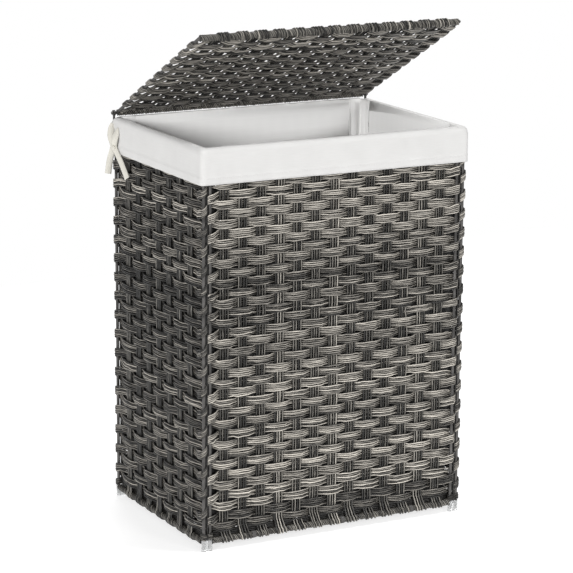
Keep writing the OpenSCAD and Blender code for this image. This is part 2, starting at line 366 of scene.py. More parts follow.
def cloth_material(name, dark, light, stitches):
    """Plain-woven cotton blend: a fine over-and-under weave, slubs, soft sheen, and a stitched hem line. The
    pale mark paints light, making the bag's inside lighter than its fold and cuff, and where it falls below
    zero it paints shade.
    """
    m = Nodes(name)
    cloth = m.attribute("cloth", "Vector")
    warp = m.wave(cloth, 0.62, "X", 0.6, 1.0)
    weft = m.wave(cloth, 0.62, "Y", 0.6, 1.0)
    weave = m.math("MULTIPLY", warp, weft)
    slub = m.noise(m.mapping(cloth, (0.05, 0.9, 1.0)), 1.0, 3.0)
    cloudy = m.noise(cloth, 0.018, 2.0)
    tone = m.math("MULTIPLY_ADD", weave, 0.06, m.math("MULTIPLY", slub, 0.3))
    tone = m.math("MULTIPLY_ADD", cloudy, 0.3, tone)
    # painted light: the pale mark lifts the bag's inside lighter than the fold and cuff; its negative values on
    # the bag's outer face paint shade
    tone = m.math("MULTIPLY_ADD", m.attribute("pale"), 0.5, tone)
    # shaded: the near-black first stop, reached by painted shade
    shaded = tuple(0.04 * v for v in dark)
    m.set(Base_Color=m.ramp(tone, (0.0, shaded), (0.03, dark), (1.0, light)))
    m.set(Roughness=m.rescale(slub, 0.3, 0.7, 0.78, 0.92))
    normal = m.bump(weave, 0.1, 0.00012)
    if stitches:
        seam = m.attribute("seam")
        dashes = m.wave(cloth, 0.11, "X")
        line = m.math("MULTIPLY", seam, m.rescale(dashes, 0.25, 0.45, 0.0, 1.0))
        normal = m.bump(line, 0.5, 0.0005, normal)
    m.set(Normal=normal, Sheen_Weight=0.12, Sheen_Roughness=0.5)
    return m.material


CLOTH = cloth_material("liner_cotton", (0.56, 0.555, 0.545), (0.83, 0.825, 0.815), True)
TAPE = cloth_material("tie_tape", (0.58, 0.56, 0.50), (0.86, 0.84, 0.77), False)


def floor_material():
    """Pale studio floor, lit partly from within, so that its shadows stay faint."""
    m = Nodes("studio_floor")
    speck = m.noise(m.position(), 3.0, 2)
    pale = m.ramp(speck, (0.3, (0.50, 0.50, 0.50)), (0.7, (0.52, 0.52, 0.52)))
    m.set(Base_Color=pale, Roughness=0.9, Specular_IOR_Level=0.1)
    m.set(Emission_Color=(1, 1, 1, 1), Emission_Strength=0.70)
    return m.material


# ---------------------------------------------------------------- mesh helpers


def mesh_object(name, points, faces, material, attributes=(), smooth=True):
    """points in mm, faces as index lists, attributes as (name, values) on the points."""
    mesh = bpy.data.meshes.new(name)
    mesh.from_pydata((np.asarray(points, float) / 1000).tolist(), [], faces)
    for key, values in attributes:
        values = np.asarray(values, np.float32)
        if values.ndim == 1:
            mesh.attributes.new(key, "FLOAT", "POINT").data.foreach_set("value", values)
        else:
            mesh.attributes.new(key, "FLOAT_VECTOR", "POINT").data.foreach_set("vector", values.ravel())
    mesh.polygons.foreach_set("use_smooth", [smooth] * len(mesh.polygons))
    mesh.update()
    mesh.materials.append(material)
    return link(bpy.data.objects.new(name, mesh))


class Strands:
    """Collects flattened tubes into one mesh. Each is a path with the direction its flat face looks."""

    SIDES = 6

    def __init__(self, seed):
        self.rng = np.random.default_rng(seed)
        self.points, self.grain, self.tone, self.edge, self.faces = [], [], [], [], []
        self.count = 0

    def add(self, path, face, width, thick, tone):
        """Adds one strand. width, thick and tone are one value each, or one for each point of the path."""
        n, k = len(path), self.SIDES
        tangent = np.gradient(path, axis=0)
        tangent /= np.linalg.norm(tangent, axis=1)[:, None]
        across = np.cross(tangent, face)
        across /= np.linalg.norm(across, axis=1)[:, None]
        up = np.cross(across, tangent)
        width, thick = np.broadcast_to(width, n), np.broadcast_to(thick, n)
        angle = np.arange(k) * 2 * math.pi / k
        a = width[:, None] / 2 * np.cos(angle)
        t = thick[:, None] / 2 * np.sin(angle) * 1.12
        ring = path[:, None] + a[..., None] * across[:, None] + t[..., None] * up[:, None]
        run = np.concatenate([[0], np.cumsum(np.linalg.norm(np.diff(path, axis=0), axis=1))])
        offset = self.rng.uniform(0, 500, 3)
        grain = np.stack([a, t, np.broadcast_to(run[:, None], a.shape)], -1) + offset
        self.points.append(ring.reshape(-1, 3))
        self.grain.append(grain.reshape(-1, 3))
        self.tone.append(np.repeat(np.broadcast_to(tone, n), k))
        # edge: high on a strand's flanks, where the material paints shade
        self.edge.append(np.tile(np.cos(angle) ** 2, n))
        i = np.arange(n - 1)[:, None] * k + self.count
        j = np.arange(k)[None]
        nxt = (j + 1) % k
        quads = np.stack([i + j, i + k + j, i + k + nxt, i + nxt], -1).reshape(-1, 4)
        self.faces += quads.tolist()
        self.faces.append([self.count + m for m in range(k)])
        self.faces.append([self.count + (n - 1) * k + k - 1 - m for m in range(k)])
        self.count += n * k

    def build(self, name, material, body, slot, *nodes):
        """Makes the piece, which rides a body and stands for the named nodes."""
        piece = mesh_object(
            name,
            np.concatenate(self.points),
            self.faces,
            material,
            [
                ("grain", np.concatenate(self.grain)),
                ("tone", np.concatenate(self.tone)),
                ("edge", np.concatenate(self.edge)),
            ],
        )
        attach(piece, body)
        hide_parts(*nodes)
        return piece


def drift(rng, n, every, amount):
    """A random wander of n values that changes over about `every` of them."""
    knots = rng.normal(0, amount, int(n / every) + 3)
    return np.interp(np.arange(n) / every + rng.uniform(0, 1), np.arange(len(knots)), knots)


def ease(t):
    return t * t * (3 - 2 * t)


# ---------------------------------------------------------------- weaving

WEFT_STEP, WEFT_W, WEFT_T = 2.95, 2.75, 2.4
POST_T = 2.0
POST_RING = ROD_R + 0.4 + POST_T / 2


def row_keys(half, xs, post_side):
    """Points (x, d) of a row from its left post to its right one. It changes side at each stake."""
    edge, out, near = 8.9, 3.15, 2.9
    keys = [(-half, post_side * POST_RING), (-half + 3.4, post_side * (POST_RING - 0.2))]
    for i, x in enumerate(xs):
        side = -post_side if i % 2 == 0 else post_side
        keys += [(x - edge, side * near), (x, side * out), (x + edge, side * near)]
    keys += [(half - 3.4, post_side * (POST_RING - 0.2)), (half, post_side * POST_RING)]
    full = [keys[0]]
    for a, b in zip(keys, keys[1:]):
        gap = b[0] - a[0]
        parts = 3 if gap > 19 else 2 if gap > 6.5 and a[1] * b[1] < 0 else 1
        for m in range(1, parts):
            t = m / parts
            full.append((a[0] + gap * t, a[1] + (b[1] - a[1]) * ease(t)))
        full.append(b)
    return np.array(full)


def post_links(r, count):
    """Which way row r is linked at its left and right posts: 1 up, -1 down, 0 not at all."""
    left, right = (1, -1) if r % 2 == 0 else (-1, 1)
    return [0 if not 0 <= r + way < count else way for way in (left, right)]


def weave(strands, place, half, xs, zs, tones, squeeze=None, n_strands=5, pinch=0.92, vary=0.12, depth=1.0):
    """One continuous bundle: rows run to and fro, and turn round the posts between each two of them."""
    rng = strands.rng
    facing = direction(place, 1)
    sideways = direction(place, 0)
    templates = [row_keys(half, xs, -1), row_keys(half, xs, 1)]
    pitch = np.diff(zs).mean()
    row_lift = rng.normal(0, 0.3, len(zs))
    lean = [drift(rng, len(templates[0]), 9, 0.3) for _ in zs]
    leaf = [rng.normal(0, 0.035, len(templates[0])) for _ in zs]
    turns = np.radians([22, 46, 68, 90, 112, 134, 158])
    for j in range(n_strands):
        offset = (j - (n_strands - 1) / 2) * WEFT_STEP
        path, face, tone, thin = [], [], [], []
        for r, z in enumerate(zs):
            keys = templates[r % 2]
            post_side = -1 if r % 2 == 0 else 1
            x, near_post = keys[:, 0].copy(), np.clip((np.abs(keys[:, 0]) - (half - 17)) / 17, 0, 1)
            d = keys[:, 1] * (depth + (1 - depth) * near_post)
            outward = np.abs(np.clip(d / 2.6 / depth, -1, 1))
            tight = pinch + (1.0 - pinch) * outward + leaf[r]
            bow = 0.35 * (1 - (offset / (2.5 * WEFT_STEP)) ** 2) * outward
            d += np.sign(d) * bow + rng.normal(0, 0.2, len(x)) + drift(rng, len(x), 6, 0.18)
            lift = rng.normal(0, 0.22, len(x)) + drift(rng, len(x), 4, 0.28)
            x[2:-2] += (rng.normal(0, 0.6, len(x)) * (1 - near_post))[2:-2]
            links = np.where(x < 0, *post_links(r, len(zs)))
            climb = 0.25 * pitch * ease(near_post) * links
            free = 1 - 0.8 * near_post
            zz = z + climb + (row_lift[r] + lean[r]) * free + offset * tight + lift * free
            if squeeze is not None:
                zz = squeeze(r, x, zz, z)
            line = np.stack([x, d, zz], 1)
            # the last term is painted shade: a row is darker where it dips in from its outer bulge towards the
            # crossing between stakes
            shade = tones[r] + rng.normal(0, vary) - 0.06 * (1 - outward)
            if r % 2 == 0:
                line, shade, near_post = line[::-1], shade[::-1], near_post[::-1]
            path.append(line)
            face.append(np.tile([0.0, post_side, 0], (len(x), 1)))
            tone.append(shade)
            thin.append(ease(near_post))
            if r + 1 < len(zs):
                out = -1 if r % 2 == 0 else 1
                ring = POST_RING + 0.35 * (j % 2)
                start = line[-1][2]
                stop = zs[r + 1] - 0.25 * pitch + offset * tight[0]
                t = ease(turns / math.pi)
                narrow = 1 - 0.12 * np.sin(turns)
                a = math.pi - turns if out > 0 else turns
                cx = out * (half + ring * np.sin(a))
                cd = -ring * np.cos(a)
                cz = start + (stop - start) * t - offset * (1 - narrow)
                path.append(np.stack([cx, cd, cz], 1))
                face.append(np.stack([out * np.sin(a), -np.cos(a), 0 * a], 1))
                tone.append(np.full(len(a), tones[r]) + rng.normal(0, 0.1))
                thin.append(np.ones(len(a)))
        path, face = np.concatenate(path), np.concatenate(face)
        tone, thin = np.concatenate(tone), np.concatenate(thin)
        normal = face[:, :1] * sideways + face[:, 1:2] * facing
        width = (WEFT_W + rng.normal(0, 0.08)) * (1 - 0.04 * thin)
        thick = WEFT_T + (POST_T - WEFT_T) * thin
        strands.add(place(path), normal, width, thick, tone + rng.normal(0, 0.07))


def tail(x, shift, rail, end, first, last, ring):
    """Points of a stake strand's end laid round a wrapped rail. end is -1 for a lower rail, 1 for an upper one.
    Angles are from the panel's middle line, 0 on the side of the panel, 90 outside, 180 beyond."""
    a = np.radians(np.linspace(first, last, TAIL_N))
    t = np.linspace(0, 1, TAIL_N)
    return np.stack([x + shift * (0.35 + 0.65 * t), ring * np.sin(a), rail - end * ring * np.cos(a)], 1)


TAIL_N = 7


def stakes(strands, place, xs, z0, z1, zs, shade, low_tail=None, high_tail=None, nudge=None, apart=4.3):
    """Upright bundles of four strands, from z0 to z1. low_tail and high_tail say how their ends lie round
    the rails, as (last angle, sideways fan, radius)."""
    rng = strands.rng
    facing = direction(place, 1)
    upright = direction(place, 2)
    inner = [z for z in zs if z0 + 3 < z < z1 - 3]
    halves = [(a + b) / 2 for a, b in zip(inner, inner[1:])]
    zz = np.sort(np.concatenate([inner, halves]))
    row_of = np.abs(zz[:, None] - np.array(zs)[None]).argmin(1)
    on_row = np.abs(zz - np.array(zs)[row_of]) < 0.01
    for i, x in enumerate(xs):
        outside = (row_of % 2 == 0) == (i % 2 == 0)
        pushed = np.where(outside, -0.35, 0.35) * on_row
        lean = drift(rng, len(zz), 10, 0.4)
        groups = rng.choice([0.0, 0.55, -0.55], 3, p=[0.4, 0.3, 0.3])
        for q in range(4):
            offset = (q - 1.5) * apart + (groups[q - 1] if q else 0) * 0.5
            px = x + offset + lean + drift(rng, len(zz), 5, 0.28)
            pd = pushed + drift(rng, len(zz), 4, 0.16)
            if nudge is not None:
                px, pd = nudge(i, q, zz, px, pd)
            body = np.stack([px, pd, zz], 1)
            face = np.tile([0.0, 1, 0], (len(body), 1))
            low_x, high_x = body[0, 0], body[-1, 0]
            if low_tail is None:
                body = np.concatenate([[[low_x, 0, z0]], body])
                face = np.concatenate([[[0.0, 1, 0]], face])
            else:
                last, fan, ring = low_tail
                shift = fan * (1.0 + 0.12 * (q - 1.5)) + rng.normal(0, 1.0)
                end = tail(low_x, shift, z0, -1, 30, last, ring)[::-1]
                out = end - np.array([0, 0, z0])
                out[:, 0] = 0
                body = np.concatenate([end, body])
                face = np.concatenate([out / np.linalg.norm(out, axis=1)[:, None], face])
            if high_tail is None:
                body = np.concatenate([body, [[high_x, 0, z1]]])
                face = np.concatenate([face, [[0.0, 1, 0]]])
            else:
                last, fan, ring = high_tail
                shift = fan * (1.0 + 0.12 * (q - 1.5)) + rng.normal(0, 1.0)
                end = tail(high_x, shift, z1, 1, 30, last, ring)
                out = end - np.array([0, 0, z1])
                out[:, 0] = 0
                body = np.concatenate([body, end])
                face = np.concatenate([face, out / np.linalg.norm(out, axis=1)[:, None]])
            normal = face[:, 1:2] * facing + face[:, 2:3] * upright
            tone = np.full(len(body), shade + rng.normal(0, 0.17))
            # painted light: a strand's ends, where they lie out round the rails, are lighter than the rest of
            # the same strand
            if low_tail is not None:
                tone[:TAIL_N] += 0.1
            if high_tail is not None:
                tone[-TAIL_N:] += 0.22
            strands.add(place(body), normal, 6.95 - apart + rng.normal(0, 0.12), 2.5, tone)


def rail_wrap(strands, place, half, rail, step, tones, gap=4.2, ring=4.2):
    """Strands wound side by side round a rail, two turns between stakes."""
    rng = strands.rng
    facing = direction(place, 1)
    upright = direction(place, 2)
    length = 2 * (half - gap)
    lead = step / 2
    for q in range(5):
        start = -half + gap + 1.7 + q * lead / 5 - lead
        turns = (length + lead) / lead
        n = int(turns * 10)
        a = np.linspace(0, 2 * math.pi * turns, n)
        x = start + lead * a / (2 * math.pi)
        keep = (x > -half + gap + 1.2) & (x < half - gap - 1.2)
        a, x = a[keep], x[keep]
        r = ring + drift(rng, len(a), 14, 0.22)
        x = x + drift(rng, len(a), 11, 0.35)
        body = np.stack([x, r * np.sin(a), rail + r * np.cos(a)], 1)
        normal = np.sin(a)[:, None] * facing + np.cos(a)[:, None] * upright
        tone = tones + drift(rng, len(a), 25, 0.06) + rng.normal(0, 0.05)
        strands.add(place(body), normal, 2.75, 2.3, tone)


BINDING_RING, BINDING_LEAD = 4.05, 5.4


def post_binding(strands, place, half, low, high, tone):
    """Two strands wound up each post between the lower rail's wrap and the first row."""
    rng = strands.rng
    facing = direction(place, 1)
    sideways = direction(place, 0)
    for post in (-half, half):
        for q in range(2):
            z = np.linspace(low, high, 28)
            a = (z - low) / BINDING_LEAD * 2 * math.pi + q * math.pi
            body = np.stack([post + BINDING_RING * np.cos(a), BINDING_RING * np.sin(a), z], 1)
            normal = np.cos(a)[:, None] * sideways + np.sin(a)[:, None] * facing
            strands.add(place(body), normal, 2.6, 2.1, tone + rng.normal(0, 0.06))


PACKING_ZS = (21.6, 24.4, 27.2)


def packing(strands, place, half):
    """Strands laid behind the stakes between the lower rail and the first row, with a near-black tone that is
    painted shade, so that the gaps there look dark.
    """
    x = np.linspace(4 - half, half - 4, 40)
    outward = np.tile(direction(place, 1), (len(x), 1))
    for z in PACKING_ZS:
        d = -2.6 + drift(strands.rng, len(x), 5, 0.15)
        line = np.stack([x, d, z + drift(strands.rng, len(x), 5, 0.2)], 1)
        # tone 0.2: painted shade
        strands.add(place(line), outward, 3.0, 1.8, 0.2)


def batch_tones(rng, zs, bands):
    """A tone for each row: strands come in batches of slightly different colour. The bands given for the left
    wall sit lower as a whole, which is painted shade on that side.
    """
    tones = np.array([next(t for top, t in bands if z < top) for z in zs])
    return tones + rng.normal(0, 0.035, len(zs))


UNEVEN_ROW, UNEVEN_STAKE = 19, 10


def front_squeeze(r, x, zz, z):
    """One row of the front is beaten up unevenly near its right end, which leaves slits under it."""
    if r != UNEVEN_ROW:
        return zz
    share = np.clip((x - 128) / 14, 0, 1)
    return zz + share * (1.3 - 0.22 * (zz - z - 6.5) * (zz < z + 6.5))


def front_nudge(i, q, zz, px, pd):
    """Two strands of a stake lie aside under that row."""
    if i != UNEVEN_STAKE or q < 2:
        return px, pd
    near = np.exp(-(((zz - WALL_ZS[UNEVEN_ROW]) / 9.0) ** 2))
    return px - 2.4 * near, pd - 1.8 * near


walls = [
    ("front", at_front, POST_X, FRONT_XS, FRONT_PITCH, [(66, 0.56), (342, 0.78), (462, 0.66), (999, 0.86)]),
    ("back", at_back, POST_X, PLAIN_XS, FRONT_PITCH, [(66, 0.60), (210, 0.76), (330, 0.62), (999, 0.80)]),
    # the left wall's bands are lower as a whole than the others': painted shade on that side, on top of the
    # batches
    ("left", at_left, FACE_Y, SIDE_XS, SIDE_PITCH, [(60, 0.38), (300, 0.49), (430, 0.42), (999, 0.56)]),
    ("right", at_right, FACE_Y, SIDE_XS, SIDE_PITCH, [(60, 0.56), (260, 0.72), (400, 0.62), (999, 0.78)]),
]
for seed, (side, place, half, xs, pitch, bands) in enumerate(walls):
    weft = Strands(100 + seed)
    tones = batch_tones(weft.rng, WALL_ZS, bands)
    squeeze, nudge = (front_squeeze, front_nudge) if side == "front" else (None, None)
    # the left wall's stakes get a lower tone, 0.44, as painted shade on that side
    vary, shade = (0.19, 0.44) if side == "left" else (0.12, 0.60)
    weave(weft, place, half, xs, WALL_ZS, tones, squeeze=squeeze, vary=vary)
    weft.build(f"{side}_weft_strands", WEFT, "basket", "weft_strand", f"{side}_weft")
    upright = Strands(200 + seed)
    low_tail = (262, 10.0, 5.8)
    stakes(upright, place, xs, LOW_RAIL_Z, HIGH_RAIL_Z - 5.2, WALL_ZS, shade, low_tail=low_tail, nudge=nudge)
    upright.build(f"{side}_stake_strands", STAKE, "basket", "stake_strand", f"{side}_stakes")
    rim = Strands(300 + seed)
    rail_wrap(rim, place, half, LOW_RAIL_Z, pitch, 0.66, gap=2.0)
    rail_wrap(rim, place, half, HIGH_RAIL_Z, pitch, 0.60)
    post_binding(rim, place, half, LOW_RAIL_Z + 3.5, WALL_ZS[0] - 7.5, 0.5)
    packing(rim, place, half)
    rim.build(f"{side}_rim_strands", RIM, "basket", "rim_strand", f"{side}_top_wrap", f"{side}_bottom_wrap")

corner = Strands(390)  # in the slits between paired posts; their dark tone, 0.3, is painted shade in those slits
for x in (-1, 1):
    for y in (-1, 1):
        spine = np.array([[x * (POST_X + SIDE_X) / 2, y * FACE_Y, z] for z in np.arange(19, 566, 12)])
        for shift in (-1.3, 1.3):
            line = spine.copy()
            line[:, 1] += shift + drift(corner.rng, len(line), 3, 0.2)
            # tone 0.3: painted shade in the slit
            corner.add(line, np.tile([1.0, 0, 0], (len(line), 1)), 2.6, 1.8, 0.3)
corner.build("corner_strands", WEFT, "basket", "weft_strand")

base = Strands(400)
weave(base, at_base, BASE_X, PLAIN_XS, BASE_ZS, batch_tones(base.rng, BASE_ZS, [(999, 0.65)]))
base.build("base_weft_strands", WEFT, "basket", "weft_strand", "base_weft")
base = Strands(401)
stakes(base, at_base, PLAIN_XS, 5.2, 2 * BASE_Y - 5.2, BASE_ZS, 0.6)
base.build("base_stake_strands", STAKE, "basket", "stake_strand", "base_stakes")
base = Strands(402)
for rail in (0.0, 2 * BASE_Y):
    rail_wrap(base, at_base, BASE_X, rail, FRONT_PITCH, 0.55, ring=3.75)
base.build("base_rim_strands", RIM, "basket", "rim_strand", "base_rim_wrap")

FILLER_XS = (201.5, 206, 210.5, 215)
REAR_TAIL_R = 4.4  # small enough for the stakes' ends to pass the cuff when the lid is right open

lid = Strands(500)
tones = batch_tones(lid.rng, LID_ZS, [(999, 0.74)])
weave(lid, at_lid, LID_X, PLAIN_XS, LID_ZS, tones, n_strands=6, pinch=1.1, vary=0.22, depth=0.8)
lid.build("lid_weft_strands", WEFT, "lid", "weft_strand", "lid_weft")
lid = Strands(501)
stakes(
    lid, at_lid, PLAIN_XS, 0.0, LID_REACH, LID_ZS, 0.56,
    low_tail=(300, 9.0, 6.2), high_tail=(165, 9.0, REAR_TAIL_R), apart=4.0,
)
for x in FILLER_XS:
    filler = np.stack([x + drift(lid.rng, len(LID_ZS), 4, 0.3), 0 * LID_ZS, LID_ZS], 1)
    lid.add(at_lid(filler), np.tile(direction(at_lid, 1), (len(filler), 1)), 3.4, 2.0, 0.5)
lid.build("lid_stake_strands", STAKE, "lid", "stake_strand", "lid_stakes")
lid = Strands(502)
for rail in (0.0, LID_REACH):
    rail_wrap(lid, at_lid, LID_X, rail, FRONT_PITCH, 0.72, gap=-0.4)
lid.build("lid_rim_strands", RIM, "lid", "rim_strand", "lid_rear_wrap", "lid_front_wrap")

# ---------------------------------------------------------------- liner

CLOTH_T = 0.6
FOLD_R = 6.4  # from the rail's axis to the middle of the cloth folded over it
BAG_R, CUFF_R = 9.0, 9.0
ROUND_R = 36.0  # of the bag's bottom edges
CORNER_N, SIDE_N, FRONT_N = 5, 52, 74


def outline(half_x, half_y, radius):
    """Points round a rounded rectangle, from its right rear corner on past its right side and front."""
    sx, sy = half_x - radius, half_y - radius
    turn = np.linspace(0, math.pi / 2, CORNER_N + 1)[:-1]
    steps = [np.linspace(0, 1, k + 1)[:-1] for k in (SIDE_N, FRONT_N)]
    close = [t - 0.5 * np.sin(2 * math.pi * t) / (2 * math.pi) for t in steps]  # closer together near corners
    run_y, run_x = sy * (1 - 2 * close[0]), sx * (1 - 2 * close[1])
    corners = ((sx, sy, math.pi / 2), (sx, -sy, 0), (-sx, -sy, -math.pi / 2), (-sx, sy, math.pi))
    arcs = [
        np.stack([x + radius * np.cos(start - turn), y + radius * np.sin(start - turn)], 1)
        for x, y, start in corners
    ]
    right = np.stack([np.full(SIDE_N, half_x), run_y], 1)
    near = np.stack([run_x, np.full(FRONT_N, -half_y)], 1)
    return np.concatenate([arcs[0], right, arcs[1], near, arcs[2], -right, arcs[3], -near])


# Places along the rim, from the right rear corner, with each one's half width, spacing and depth of folds.
GATHERS = ((8.0, 24, 14.0, 5.0), (120.0, 90, 33.0, 1.9), (-80.0, 70, 41.0, 1.1), (-433.0, 22, 19.0, 2.2))


def gathers(run):
    """How far the bag's cloth is bunched inward along its rim: most near the right rear corner."""
    size, lap = np.zeros(len(run)), run[-1]
    for centre, reach, wave, depth in GATHERS:
        away = (run - centre + lap / 2) % lap - lap / 2
        size += depth * np.exp(-((away / reach) ** 2)) * ((1 + np.sin(away * 2 * math.pi / wave)) / 2) ** 1.5
    return size


BAG, FOLD, SKIRT = 0, 1, 2  # parts of the liner: inside, over the rails, and the cuff's outer face
SEAM_UP = 10.2  # of the stitching above the cuff's lower edge


def liner_rings():
    """Rings of points from the middle of the bag's floor up its walls, over the rails and down the cuff.
    Each is (points, cloth length, seam mark, pin strength, part). A known fault: ROUND_R is more than
    BAG_R, so the sheet overlaps itself in the bag's four bottom corners."""
    inner = outline(SIDE_X - FOLD_R, FACE_Y - FOLD_R, BAG_R)
    outer = outline(SIDE_X + FOLD_R, FACE_Y + FOLD_R, CUFF_R)
    run = np.concatenate([[0], np.cumsum(np.linalg.norm(np.diff(inner, axis=0), axis=1))])
    along = np.roll(inner, -1, 0) - np.roll(inner, 1, 0)
    inward = np.stack([along[:, 1], -along[:, 0]], 1) / np.linalg.norm(along, axis=1)[:, None]
    inward *= -np.sign((inward * inner).sum(1))[:, None]
    bottom = BAG_LOW + CLOTH_T
    rings = []

    def ring(flat, z, length, seam=0.0, pin=0.0, part=BAG):
        rings.append((np.concatenate([flat, np.full((len(flat), 1), z)], 1), length, seam, pin, part))

    for share in np.linspace(0.08, 1, 11)[:-1]:
        ring(inner * (0.01 + 0.99 * share) + inward * ROUND_R * share, bottom, -200 * (1 - share), pin=1.0)
    for a in np.linspace(0, math.pi / 2, 6)[:-1]:
        rise = ROUND_R * (1 - math.cos(a))
        ring(inner + inward * ROUND_R * (1 - math.sin(a)), bottom + rise, rise, pin=math.cos(a))
    low = bottom + ROUND_R
    for z in np.linspace(low, HIGH_RAIL_Z, 54):
        ring(inner, z, z, pin=float(z > HIGH_RAIL_Z - 2))
    for a in np.linspace(0, math.pi, 9)[1:]:
        t = (1 - math.cos(a)) / 2
        flat, part = inner * (1 - t) + outer * t, FOLD if a > 1.2 else BAG
        ring(flat, HIGH_RAIL_Z + FOLD_R * math.sin(a), HIGH_RAIL_Z + a * FOLD_R, pin=1.0, part=part)
    last = CUFF_LOW + 0.4
    for above in (*np.linspace(HIGH_RAIL_Z - last, 15, 10)[1:], 12.4, 11.4, SEAM_UP, 7, 3.5, 0):
        hem, stitched = above < 12, abs(above - SEAM_UP) < 0.1
        ring(outer - inward * 0.9 * hem, last + above, HIGH_RAIL_Z + 20 - above, float(stitched), part=SKIRT)
    return run, inward, rings


def liner_sheet():
    """The liner as one open sheet, with a hole in its fold at each rear corner for the hinge."""
    run, inward, rings = liner_rings()
    n, count = len(run), len(rings)
    parts = np.array([r[4] for r in rings])
    rear_left = 3 * CORNER_N + 2 * SIDE_N + FRONT_N
    column = np.arange(n)
    bare = (column < CORNER_N) | ((column >= rear_left) & (column < rear_left + CORNER_N))
    index = np.arange(count * n).reshape(count, n)
    quads = [index[0].tolist()[::-1]]
    for r in range(count - 1):
        for c in column:
            d = (c + 1) % n
            if not (parts[r + 1] == FOLD and bare[c]):
                quads.append([index[r, c], index[r, d], index[r + 1, d], index[r + 1, c]])
    used = np.unique(np.concatenate(quads))
    fresh = np.full(count * n, -1)
    fresh[used] = np.arange(len(used))
    points = np.concatenate([r[0] for r in rings])[used]
    lengths, seam, pin = (np.repeat([r[k] for r in rings], n)[used] for k in (1, 2, 3))
    part = np.repeat(parts, n)[used]
    cloth = np.stack([np.tile(run, count)[used], lengths, 0 * lengths], 1)
    height = points[:, 2] / HIGH_RAIL_Z
    near_rim = np.clip((height - 0.97) / 0.04, 0, 1)
    fall = np.clip((height - 0.4) / 0.5, 0, 1) * (1 - 0.6 * near_rim) * (part == BAG)
    bunch = np.tile(inward * gathers(run)[:, None], (count, 1))[used] * fall[:, None]
    return points, [fresh[q].tolist() for q in quads], cloth, seam, pin, part, bunch


SIM_FRAMES = 24
SLACK = 0.012
BAG_SHARE, SKIRT_SHARE = 0.6, 0.4  # of the simulated movement that is kept


def settle(obj, pin, frames):
    """Simulates the cloth, a little slack and held by its pins, and gives its points in mm."""
    group = obj.vertex_groups.new(name="pin")
    for v in np.nonzero(pin > 0)[0]:
        group.add([int(v)], float(pin[v]), "REPLACE")
    modifier = obj.modifiers.new("cloth", "CLOTH")
    settings = modifier.settings
    settings.quality = 4
    settings.mass = 0.15
    settings.tension_stiffness = settings.compression_stiffness = 25
    settings.shear_stiffness = 12
    settings.bending_stiffness = 1.5
    settings.vertex_group_mass = "pin"
    settings.shrink_min = -SLACK
    modifier.collision_settings.use_collision = False
    modifier.point_cache.frame_end = frames
    for step in range(1, frames + 1):
        scene.frame_set(step)
    settled = obj.evaluated_get(bpy.context.evaluated_depsgraph_get()).to_mesh()
    points = np.empty(len(settled.vertices) * 3, np.float32)
    settled.vertices.foreach_get("co", points)
    obj.modifiers.remove(modifier)
    obj.vertex_groups.clear()
    scene.frame_set(1)
    return points.reshape(-1, 3).astype(float) * 1000


def keep_within(value, limit, soft=0.5):
    """Brings |value| smoothly under a limit."""
    size = limit - soft * np.log1p(np.exp(np.clip((limit - np.abs(value)) / soft, -50, 50)))
    return np.sign(value) * size


def keep_outside(value, limit, soft=0.4):
    """Brings |value| smoothly over a limit."""
    size = limit + soft * np.log1p(np.exp(np.clip((np.abs(value) - limit) / soft, -50, 50)))
    return np.sign(value) * size


def thicken(obj, thickness):
    """Gives a sheet its thickness and leaves no modifier behind."""
    modifier = obj.modifiers.new("thickness", "SOLIDIFY")
    modifier.thickness, modifier.offset = thickness / 1000, 0.0
    solid = bpy.data.meshes.new_from_object(obj.evaluated_get(bpy.context.evaluated_depsgraph_get()))
    obj.modifiers.clear()
    obj.data = solid


# a pale value that paints shade on the bag's outer face
PAINTED_SHADE_OUTSIDE = -1.5


def paint_shade_outside(liner, points, bag):
    """Paints shade on the bag's outer face behind the weave: it is made dark so that the gaps in the weave look
    deep. The thickened mesh holds its two layers one after the other, and the outer one reaches further."""
    solid = liner.data
    solid_points = np.empty(len(solid.vertices) * 3, np.float32)
    solid.vertices.foreach_get("co", solid_points)
    reach = np.abs(solid_points.reshape(2, -1, 3)[..., :2]).sum((1, 2))
    outer = (reach == reach.max())[:, None]
    hidden = outer & bag & (points[:, 2] < HIGH_RAIL_Z - 30)
    # painted shade: the hidden outer face gets a pale value far below zero, near black
    pale = np.where(hidden, PAINTED_SHADE_OUTSIDE, bag).ravel().astype(np.float32)
    solid.attributes["pale"].data.foreach_set("value", pale)


def shape_liner():
    """Builds, simulates, gathers and thickens the liner."""
    points, quads, cloth, seam, pin, part, bunch = liner_sheet()
    bag, skirt = part == BAG, part == SKIRT
    # pale: 1 on the bag's inside, which is painted lighter than the fold and cuff
    liner = mesh_object("liner_sheet", points, quads, CLOTH, [("cloth", cloth), ("seam", seam), ("pale", bag)])
    moved = settle(liner, pin, SIM_FRAMES)
    share = np.where(skirt, SKIRT_SHARE, BAG_SHARE)[:, None]
    points = points + (moved - points) * share
    points[:, :2] += bunch
    points[bag, 0] = keep_within(points[bag, 0], SIDE_X - FOLD_R + 0.4)
    points[bag, 1] = keep_within(points[bag, 1], FACE_Y - FOLD_R + 0.4)
    for axis, half in ((0, SIDE_X + FOLD_R), (1, FACE_Y + FOLD_R)):
        facing = skirt & (np.abs(points[:, axis]) > half - 2)
        points[facing, axis] = keep_outside(points[facing, axis], half - 0.3)
    liner.data.vertices.foreach_set("co", (points / 1000).ravel())
    thicken(liner, CLOTH_T)
    paint_shade_outside(liner, points, bag)
    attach(liner, "basket")
    sides = ("front", "back", "left", "right")
    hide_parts("liner_bag", *(f"liner_cuff_{side}" for side in sides))


shape_liner()

# ---------------------------------------------------------------- ties

TAPE_W, TAPE_T, KNOT_W = 9.9, 0.8, 6.5
TAPE_CROWN = 0.5


